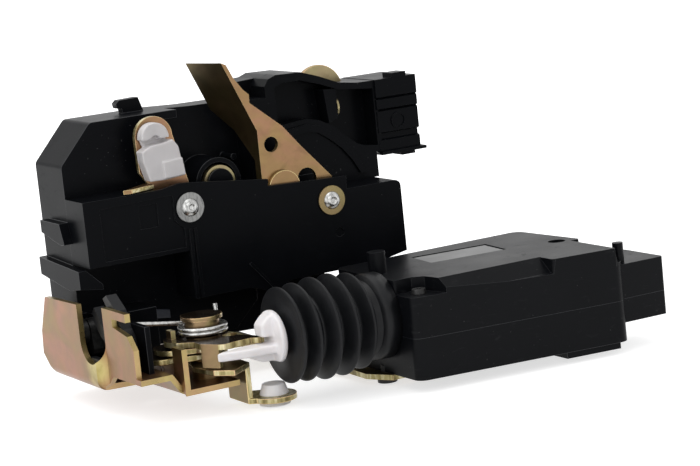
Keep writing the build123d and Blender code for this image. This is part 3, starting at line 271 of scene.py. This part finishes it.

# painted highlight: a brighter zinc for the plates' rounded edges, for the light they catch
gold_edge_highlight = zinc_steel("zinc_edge_painted_highlight", (0.66, 0.52, 0.26), (0.62, 0.42, 0.24), (0.70, 0.60, 0.30),
                       rough=(0.18, 0.30))
gold_cut = zinc_steel("zinc_cut", (0.44, 0.33, 0.14), (0.46, 0.30, 0.15), (0.42, 0.35, 0.13),
                      rough=(0.22, 0.36))
gold = zinc_steel("zinc_steel", (0.31, 0.195, 0.105), (0.36, 0.195, 0.135), (0.30, 0.22, 0.09))
# painted shade: a dark zinc for the upper faces of three levers and the pin, for the shade they lie in
painted_shade_top = zinc_steel("zinc_painted_shade", (0.060, 0.045, 0.030), (0.085, 0.060, 0.040), (0.045, 0.036, 0.022),
                      rough=(0.16, 0.3))
slot_foot, slot_reach = (-0.021, -0.0205, 0.0076), 0.0085      # metres: under the latch plate's slot
plate_gold = zinc_steel("zinc_plate", (0.28, 0.160, 0.072), (0.35, 0.165, 0.100), (0.28, 0.19, 0.07),
                        yellow_spot=(slot_foot, slot_reach))
lever_gold = zinc_steel("zinc_lever", (0.295, 0.185, 0.086), (0.325, 0.178, 0.102), (0.285, 0.200, 0.080))
# painted shade: a darker zinc for the release lever's flange, which faces away from the light
flange_painted_shade = zinc_steel("zinc_flange_painted_shade", (0.155, 0.115, 0.052), (0.165, 0.112, 0.055), (0.13, 0.105, 0.043))
olive = zinc_steel("zinc_olive", (0.28, 0.22, 0.10), (0.30, 0.20, 0.11), (0.27, 0.24, 0.10))
yellow = zinc_steel("zinc_yellow", (0.34, 0.30, 0.15), (0.33, 0.26, 0.15), (0.32, 0.31, 0.15))

edge_upright = sheared_steel("sheared_upright", (1, 1, 0.12))
edge_across = sheared_steel("sheared_across", (1, 0.12, 1))
silver = bright_steel()
washer_silver = bright_steel("washer_silver", 0.13, 0.30)
wire_steel = bright_steel("spring_wire", 0.42, 0.70)
rivet_steel = bright_steel("rivet_steel", 0.30, 0.72)
nylon = white_nylon("white_nylon", 0.57)
link_nylon = white_nylon("link_nylon", 0.78)
bush_nylon = white_nylon("bush_nylon", 0.88)

soft_black = plain_finish("rubber", (0.005, 0.0055, 0.0065), (0.010, 0.0105, 0.012),
                          marks=(110, 5, 0.8, 0.3, 0.75), rough=(0.34, 0.50), shine=0.2,
                          grain=(1500, 4, 0.3, 0.0001))
blade_brass = plain_finish("brass_blade", (0.66, 0.50, 0.22), (0.76, 0.61, 0.32),
                           marks=(700, 4, 0, 0.3, 0.7), rough=(0.25, 0.4), metallic=1.0)
blank_foil = plain_finish("label_foil", grey(0.17), grey(0.24), marks=(90, 4, 0, 0.3, 0.7),
                          rough=(0.5, 0.62), metallic=0.2, grain=(1400, 3, 0.1, 0.00005))
black_oxide = plain_finish("black_screw", grey(0.015), grey(0.035), marks=(800, 4, 0, 0.3, 0.7),
                           rough=(0.32, 0.5), metallic=0.6)

finish = {                      # the look of each of the record's slots
    "zinc_steel": gold, "bright_steel": silver, "black_plastic": black, "claw_coating": soft_black,
    "spring_wire": wire_steel, "rubber": soft_black, "white_nylon": nylon, "brass_blade": blade_brass,
    "black_screw": black_oxide}
own_look = {node: look for look, nodes in (      # nodes that differ from their slot
    (shell_black, ("upper_shell", "lower_shell")),
    (black_oxide, ("claw_spring", "pawl_spring", "claw_pin", "pawl", "pawl_pin")),
    (washer_silver, ("left_washer",)),
    (olive, ("right_washer", "lock_lever", "middle_lever", "transfer_lever", "inside_lever", "lever_pin",
             "actuator_bracket", "spring_hub", "foot_collar", "lower_collar")),
    (yellow, ("key_disc", "casing_eyelet", "ring_spring")),
    (bush_nylon, ("inside_bush",)),
    (plate_gold, ("latch_plate",)),
    (lever_gold, ("release_lever", "knob_lever", "tongue_lever"))) for node in nodes}
slot_of = {part["node"]: part["material_slot"] for part in frame["record"]["subparts"]}
body_of = {node: body for body, nodes in frame["record"]["behaviour"]["bodies"].items() for node in nodes}
for name, node in frame["nodes"].items():
    node.data.materials.clear()
    node.data.materials.append(own_look.get(name, finish[slot_of[name]]))

# ---------------------------------------------------------------- making of pieces
WELD = 0.000004                 # metres: points this close are one
FLAT_ANGLE = 0.8                # degrees: triangles that turn less are one flat face
SMOOTH_ANGLE = 32               # degrees: edges that turn less are shaded smooth
DOME_ANGLE = 50                 # degrees: the same on round pieces with few facets
SHARP_ANGLE = 28                # degrees: edges that turn more are rounded
CORNER_SEGMENTS = 6             # facets of the large rounds
ROUND_PROFILE = 0.6             # a little fuller than a quarter circle, which is 0.5
FLAT_WEIGHT = 90                # 50 is neutral; more lets the large faces decide the shading at their edges


def welded_copy(name):
    """The node's faces as one clean mesh: split vertices joined, flat triangles merged."""
    mesh = bmesh.new()
    mesh.from_mesh(frame["nodes"][name].data)
    bmesh.ops.remove_doubles(mesh, verts=mesh.verts, dist=WELD)
    bmesh.ops.dissolve_limit(mesh, angle_limit=radians(FLAT_ANGLE), verts=mesh.verts, edges=mesh.edges)
    return mesh


def mesh_object(name, mesh, looks):
    data = bpy.data.meshes.new(name)
    mesh.to_mesh(data)
    mesh.free()
    for look in looks:
        data.materials.append(look)
    data.shade_smooth()
    piece = bpy.data.objects.new(name, data)
    scene.collection.objects.link(piece)
    return piece


def new_piece(name, mesh, looks, body, smooth=SMOOTH_ANGLE):
    """A rigid piece, whose large faces stay flat in their shading."""
    piece = mesh_object(name, mesh, looks)
    piece.data.set_sharp_from_angle(angle=radians(smooth))
    weigh = piece.modifiers.new("flat_faces_flat", "WEIGHTED_NORMAL")
    weigh.keep_sharp = True
    weigh.weight = FLAT_WEIGHT
    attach(piece, body)
    return piece


def bevel(mesh, edges, width, segments, profile=0.5, clamp=True, **more):
    bmesh.ops.bevel(mesh, geom=edges, offset=width * MM, offset_type="OFFSET", segments=segments,
                    profile=profile, affect="EDGES", clamp_overlap=clamp, **more)


def ring(mesh, count, place):
    """count points once round; place gives each in millimetres for its cosine and sine."""
    turns = [2 * pi * k / count for k in range(count)]
    return [mesh.verts.new([level * MM for level in place(cos(turn), sin(turn))]) for turn in turns]


def span_rings(mesh, rings):
    """Faces between each ring of points and the next."""
    for a, b in zip(rings, rings[1:]):
        for k in range(len(a)):
            following = (k + 1) % len(a)
            mesh.faces.new((a[k], a[following], b[following], b[k]))


def corner_rounds(mesh, radius, way, clamp):
    """Rounds the outside corners along axis number way that are long for the radius and that nothing
    stands in front of."""
    least_length, along, least_turn, clear_of = 3 * radius * MM, 0.97, radians(40), 0.0002
    mesh.normal_update()
    tree = BVHTree.FromBMesh(mesh)
    corners = []
    for edge in mesh.edges:
        if not edge.is_manifold or edge.calc_length() < least_length:
            continue
        line = (edge.verts[1].co - edge.verts[0].co).normalized()
        out = (edge.link_faces[0].normal + edge.link_faces[1].normal).normalized()
        centre = (edge.verts[0].co + edge.verts[1].co) / 2
        if abs(line[way]) > along and edge.is_convex and edge.calc_face_angle(0) > least_turn \
                and tree.ray_cast(centre + out * clear_of, out)[0] is None:
            corners.append(edge)
    bevel(mesh, corners, radius, CORNER_SEGMENTS, clamp=clamp)


def bend_rounds(mesh, bends):
    """Rounds a plate's bends: each is (x, z, radius) of a line along Y."""
    least_length, near = 0.008, 0.00005
    for x, z, radius in bends:
        lines = [e for e in mesh.edges if abs(e.verts[0].co.y - e.verts[1].co.y) > least_length and all(
            abs(v.co.x - x * MM) < near and abs(v.co.z - z * MM) < near for v in e.verts)]
        bevel(mesh, lines, radius, CORNER_SEGMENTS)


def rounded(name, width, segments=2, sheared=None, lit=None, top=None, corner=None, bends=()):
    """The node with its sharp edges rounded: lit is the look of the rounded edges, which paints a highlight
    on them, sheared that of a plate's cut edges and top that of its upper faces, which paints shade on them."""
    thickest_sheet, inside, widest_cut, upward = 2.4, 0.00002, 0.0003, 0.9
    mesh = welded_copy(name)
    if corner is not None:
        corner_rounds(mesh, *corner)
    bend_rounds(mesh, bends)
    looks = [own_look.get(name, finish[slot_of[name]])]
    if sheared is not None:
        # a cut edge is a small face with more metal behind it than the sheet is thick
        looks.append(sheared)
        tree = BVHTree.FromBMesh(mesh)
        for face in mesh.faces:
            start = face.calc_center_median() - face.normal * inside
            behind = tree.ray_cast(start, -face.normal)[3]
            if face.calc_area() < widest_cut and (behind is None or behind > thickest_sheet * MM):
                face.material_index = 1
    # painted shade: the upper faces take the top look
    if top is not None:
        looks.append(top)
        for face in mesh.faces:
            if face.normal.z > upward and face.material_index == 0:
                face.material_index = len(looks) - 1
    sharp = [e for e in mesh.edges if e.is_manifold and e.calc_face_angle(0) > radians(SHARP_ANGLE)]
    edge_slot = -1              # the look of the faces beside the edge
    if lit is not None:
        looks.append(lit)
        edge_slot = len(looks) - 1
    bevel(mesh, sharp, width, segments, profile=ROUND_PROFILE, material=edge_slot, miter_outer="ARC")
    piece = new_piece(name + "_dressed", mesh, looks, body_of[name])
    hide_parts(name)
    return piece


def plate_piece(name, corners, depth, look, width=0.4, axis="Y", lit=None):
    """A bevelled plate on the frame: corners in X and Z between two levels in Y, or, for axis Z, in X
    and Y between two levels in Z."""
    mesh = bmesh.new()
    ends = [[mesh.verts.new((a * MM, level * MM, b * MM) if axis == "Y" else (a * MM, b * MM, level * MM))
             for a, b in corners] for level in depth]
    for end in ends:
        mesh.faces.new(end)
    span_rings(mesh, ends)
    bmesh.ops.recalc_face_normals(mesh, faces=mesh.faces)
    looks = [look] if lit is None else [look, lit]
    bevel(mesh, mesh.edges[:], width, segments=3, profile=ROUND_PROFILE, material=len(looks) - 1)
    return new_piece(name, mesh, looks, "frame")


# ---------------------------------------------------------------- mouldings, plates and screws
# corner is the radius, the axis and whether rounds that would meet are held back
# the mouldings' rounded edges get a painted highlight
for name, width, lit, corner in (
        ("housing", 0.5, black_edge_highlight, None), ("front_cover", 0.5, black_edge_highlight, None),
        ("key_casing", 0.4, black_edge_highlight, (1.0, 1, True)), ("latch_carrier", 0.4, black_edge_highlight, None),
        ("upper_shell", 0.7, black_edge_highlight, (1.3, 2, False)),
        ("lower_shell", 0.7, black_edge_highlight, (1.3, 2, False)),
        ("inside_bush", 0.3, None, None), ("bump_stop", 0.6, None, None)):
    rounded(name, width, segments=3, lit=lit, corner=corner)

PLATE_EDGE = 0.28
plate_bends = ((-22, 0, 3.6), (-20, 2, 1.8), (-4.0, 0, 1.9))
plates = {}
for name, edge, top in (
        ("latch_plate", gold_cut, None), ("release_lever", gold_cut, None),
        ("tongue_lever", gold_cut, None), ("knob_lever", edge_across, None),
        ("inside_lever", edge_upright, None),
        ("transfer_lever", edge_upright, painted_shade_top), ("middle_lever", edge_upright, painted_shade_top),
        ("lock_lever", edge_upright, painted_shade_top), ("actuator_bracket", edge_upright, None),
        ("key_disc", gold_cut, None), ("lever_pin", None, painted_shade_top), ("spring_hub", None, None)):
    # the rounded edges get a painted highlight, and the upper faces of three levers and the pin a painted
    # shade
    plates[name] = rounded(name, PLATE_EDGE, sheared=edge, lit=gold_edge_highlight, top=top,
                           bends=plate_bends if name == "latch_plate" else ())

# painted shade: the release lever's flange faces down and away from the light, and is coloured darker than
# its arm
flange_faces, facing_it = Vector((-0.9, -0.21, -0.39)).normalized(), 0.85
release = plates["release_lever"].data
release.materials.append(flange_painted_shade)
for face in release.polygons:
    if face.normal.dot(flange_faces) > facing_it:
        face.material_index = len(release.materials) - 1

for name, width in (
        ("left_washer", 0.2), ("right_washer", 0.2), ("bracket_screws", 0.3), ("lid_screw", 0.2),
        ("weld_nuts", 0.3), ("bracket_rivets", 0.3)):
    rounded(name, width)

# mouldings without a hard corner: a fine even mesh, relaxed; the cells are in metres
for name, cell, passes, look in (("rod_link", 0.00028, 60, link_nylon), ("rod_clip", 0.00026, 7, nylon)):
    soft = new_piece(name + "_soft", welded_copy(name), [look], body_of[name])
    even = soft.modifiers.new("even", "REMESH")
    even.mode, even.voxel_size, even.use_smooth_shade = "VOXEL", cell, True
    relax = soft.modifiers.new("relax", "SMOOTH")
    relax.factor, relax.iterations = 0.5, passes
    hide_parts(name)

# ---------------------------------------------------------------- rivets, plates and the spring's end
# rivet heads: low domes with the setting tool's dimple, on their shanks
# the outline is (radius, depth behind the cover's face)
rivet_outline = ((2.6, 30.6), (2.6, 1.0), (3.42, 0.9), (3.5, 0.3), (3.3, -0.3), (2.7, -0.95), (2.1, -1.35),
                 (1.6, -1.5), (1.3, -1.5), (1.0, -1.3), (0.7, -0.9))
rivet_points = 48
cover_face = -10.8
mesh = bmesh.new()
for x, z in ((26.7, 57.9), (85.3, 51.1)):
    rings = [ring(mesh, rivet_points, lambda c, s: (x + r * c, cover_face + depth, z + r * s))
             for r, depth in rivet_outline]
    span_rings(mesh, rings)
    mesh.faces.new(rings[0])
    mesh.faces.new(rings[-1])
bmesh.ops.recalc_face_normals(mesh, faces=mesh.faces)
rivets = new_piece("rivet_domes", mesh, [rivet_steel], "frame", smooth=DOME_ANGLE)
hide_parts("cover_rivets")

# small forms that the solids leave out
skirt_corners = ((40, 5.2), (59, 4.6), (68, 8), (80, 13), (88, 20), (88, 27), (50, 27), (40, 24))
plate_piece("housing_skirt", skirt_corners, (6.3, 17), black, lit=black_edge_highlight)
# the stub's grey is painted shade
plate_piece("housing_stub", ((13.6, 16.6), (20.8, 15.6), (20.8, 19.0), (15.0, 20.0)), (4.6, 6.2), stub_painted_shade,
            width=0.5)
label_x, label_y, label_turn = 113.5, -52.5, radians(-5)
label_corners = [(label_x + a * cos(label_turn) - b * sin(label_turn),
                  label_y + a * sin(label_turn) + b * cos(label_turn))
                 for a, b in ((-14.9, -7.9), (14.9, -7.9), (14.9, 7.9), (-14.9, 7.9))]
plate_piece("blank_label", label_corners, (29.38, 29.75), blank_foil, width=0.12, axis="Z")

# end of the key return spring, standing on the housing's shoulder under the casing
leg_from, leg_to = Vector((106.0, 7.4, 54.2)) * MM, Vector((112.5, 7.4, 59.2)) * MM
leg_radius, leg_length, leg_points, rim_turn = 0.4 * MM, 8.2 * MM, 20, 1.0
mesh = bmesh.new()
bmesh.ops.create_cone(mesh, cap_ends=True, segments=leg_points, radius1=leg_radius, radius2=leg_radius,
                      depth=leg_length)
turned = (leg_to - leg_from).to_track_quat("Z", "Y").to_matrix().to_4x4()
bmesh.ops.transform(mesh, matrix=Matrix.Translation((leg_from + leg_to) / 2) @ turned, verts=mesh.verts)
bevel(mesh, [e for e in mesh.edges if e.calc_face_angle(0) > rim_turn], 0.15, segments=2)
new_piece("spring_end", mesh, [wire_steel], "frame", smooth=DOME_ANGLE)

# ---------------------------------------------------------------- bellows
# soft round lips and valleys, turned about the rod's axis
# the profile is (x, radius): the neck, the folds outside, the collar on the actuator, and back inside
rod_y, rod_z = -66.0, 16.4
bellows_points = 96
neck_x, fold_pitch, crest_radius = 29.2, 7.2, 17.2
front_x = 30.75                 # the first lip stays behind the levers when the rod is out
bulges = (0.0, 0.4, 1.2, 1.2, 0.2)
profile = [(neck_x, 3.5), (neck_x, 6.8), (front_x, 8.2), (front_x, 15.8)]
for fold, bulge in enumerate(bulges):
    x = neck_x + fold_pitch * fold
    crest = crest_radius + bulge
    lip = max(x + 0.5, front_x + 0.05)
    profile += [(lip, crest - 0.6), (lip + 0.3, crest - 0.1), (lip + 0.7, crest - 0.1),
                (lip + 1.2, crest - 0.7), (x + 2.6, crest - 2.2),
                (x + 3.7, 13.0), (x + 4.4, 12.1), (x + 5.0, 12.1), (x + 5.6, 12.9)]
    if fold < len(bulges) - 1:
        profile += [(x + 6.6, crest_radius + bulges[fold + 1] - 2.6)]
profile += [(64.6, 15.2), (65.4, 15.7), (70.3, 15.7), (70.3, 14.9), (65.6, 14.8),
            (60, 11.0), (31.8, 11.0), (31.8, 7.4), (30.4, 6.0), (30.4, 3.5)]
mesh = bmesh.new()
rings = [ring(mesh, bellows_points, lambda c, s: (x, rod_y + r * c, rod_z + r * s)) for x, r in profile]
span_rings(mesh, rings + rings[:1])
bmesh.ops.recalc_face_normals(mesh, faces=mesh.faces)
bellows = mesh_object("bellows_rubber", mesh, [soft_black])
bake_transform(bellows)
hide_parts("bellows")

# ---------------------------------------------------------------- world, lamps, floor and camera
scene.view_settings.view_transform = "Standard"


def background_rays(tree, others):
    """1 for the rays that show the white background, and the value others for all others."""
    paths = tree.nodes.new("ShaderNodeLightPath")
    rays = others
    for kind in ("Is Camera Ray", "Is Glossy Ray", "Is Transmission Ray"):
        rays = combine(tree, "ShaderNodeMath", paths.outputs[kind], rays, operation="MAXIMUM").outputs[0]
    return rays


# soft white tent: bright above, behind and at the left, dim towards the front
brightest = Vector((-0.45, 0.62, 0.64)).normalized()
tent_span, tent_dim, tent_bright, tent_colour = 0.75, 0.06, 0.8, (0.98, 0.99, 1.0)
plain_white_share = 0.5         # of the light that the object gets from the world
world = bpy.data.worlds.new("studio")
scene.world = world
world.use_nodes = True
tree = world.node_tree
tent = tree.nodes["Background"]
way = tree.nodes.new("ShaderNodeTexCoord").outputs["Generated"]
facing = combine(tree, "ShaderNodeVectorMath", way, brightest, operation="DOT_PRODUCT")
glow = add_node(tree, "ShaderNodeMapRange", Value=facing.outputs["Value"], From_Min=-tent_span,
                From_Max=tent_span, To_Min=tent_dim, To_Max=tent_bright)
glow.interpolation_type = "SMOOTHSTEP"
plug(tree, tent_colour, tent.inputs["Color"])
plug(tree, glow.outputs[0], tent.inputs["Strength"])
white = add_node(tree, "ShaderNodeBackground", Color=grey(1))
pick = combine(tree, "ShaderNodeMixShader", background_rays(tree, plain_white_share), tent.outputs[0],
               white.outputs[0])
tree.links.new(pick.outputs[0], tree.nodes["World Output"].inputs["Surface"])

lamps_aim = (0.06, -0.03, 0.04)
for name, place, size, power in (                # in metres and watts
        ("top", (-0.1, 0.1, 0.75), (0.9, 0.7), 2.2),
        ("left", (-0.75, -0.25, 0.35), (0.5, 0.5), 0.9),
        ("front", (-0.25, -0.85, 0.55), (0.5, 0.3), 0.9)):
    data = bpy.data.lights.new(name, "AREA")
    data.shape = "RECTANGLE"
    data.size, data.size_y = size
    data.energy = power
    lamp = bpy.data.objects.new(name, data)
    scene.collection.objects.link(lamp)
    lamp.location = place
    lamp.rotation_euler = (Vector(lamps_aim) - Vector(place)).to_track_quat("-Z", "Y").to_euler()

# the floor lights up for the eye away from the object, so that it meets the white behind
floor_half, floor_gap, floor_grey = 3, 0.0005, 0.62
near, far, near_white, far_white = 0.12, 0.55, 0.66, 1.0
floor_mesh = bpy.data.meshes.new("floor")
floor_corners = [(x * floor_half, y * floor_half, 0) for x, y in ((-1, -1), (1, -1), (1, 1), (-1, 1))]
floor_mesh.from_pydata(floor_corners, [], [(0, 1, 2, 3)])
floor = bpy.data.objects.new("floor", floor_mesh)
scene.collection.objects.link(floor)
floor.location.z = cad_box[0][2] - floor_gap
pale = bpy.data.materials.new("pale_floor")
pale.use_nodes = True
tree = pale.node_tree
board = tree.nodes["Principled BSDF"]
for key, value in (("Roughness", 0.9), ("Specular IOR Level", 0.1), ("Base Color", grey(floor_grey))):
    plug(tree, value, board.inputs[key])
spot = tree.nodes.new("ShaderNodeTexCoord").outputs["Object"]
reach = combine(tree, "ShaderNodeVectorMath", spot, operation="LENGTH")
whiter = add_node(tree, "ShaderNodeMapRange", Value=reach.outputs["Value"], From_Min=near,
                  From_Max=far, To_Min=near_white, To_Max=far_white)
lift = combine(tree, "ShaderNodeMath", whiter.outputs[0], background_rays(tree, 0.0), operation="MULTIPLY")
lit = add_node(tree, "ShaderNodeEmission", Strength=lift.outputs[0])
both = combine(tree, "ShaderNodeAddShader", board.outputs[0], lit.outputs[0])
tree.links.new(both.outputs[0], tree.nodes["Material Output"].inputs["Surface"])
floor_mesh.materials.append(pale)

# the photograph's view
view_azimuth, view_elevation, view_roll = radians(28.3), radians(9.2), radians(-5.86)
eye = Vector((-334.78, -802.47, 183.05)) * MM
lens = bpy.data.cameras.new("camera")
lens.sensor_width = 36
lens.lens = 123.43
lens.clip_start = 0.05
camera = bpy.data.objects.new("camera", lens)
scene.collection.objects.link(camera)
ahead = Vector((sin(view_azimuth) * cos(view_elevation), cos(view_azimuth) * cos(view_elevation),
                -sin(view_elevation)))
right = ahead.cross(Vector((0, 0, 1))).normalized()
down = ahead.cross(right)
turned_right = right * cos(view_roll) - down * sin(view_roll)
turned_down = right * sin(view_roll) + down * cos(view_roll)
facing_ahead = Matrix((turned_right, -turned_down, -ahead)).transposed().to_4x4()
camera.matrix_world = Matrix.Translation(eye) @ facing_ahead
scene.camera = camera
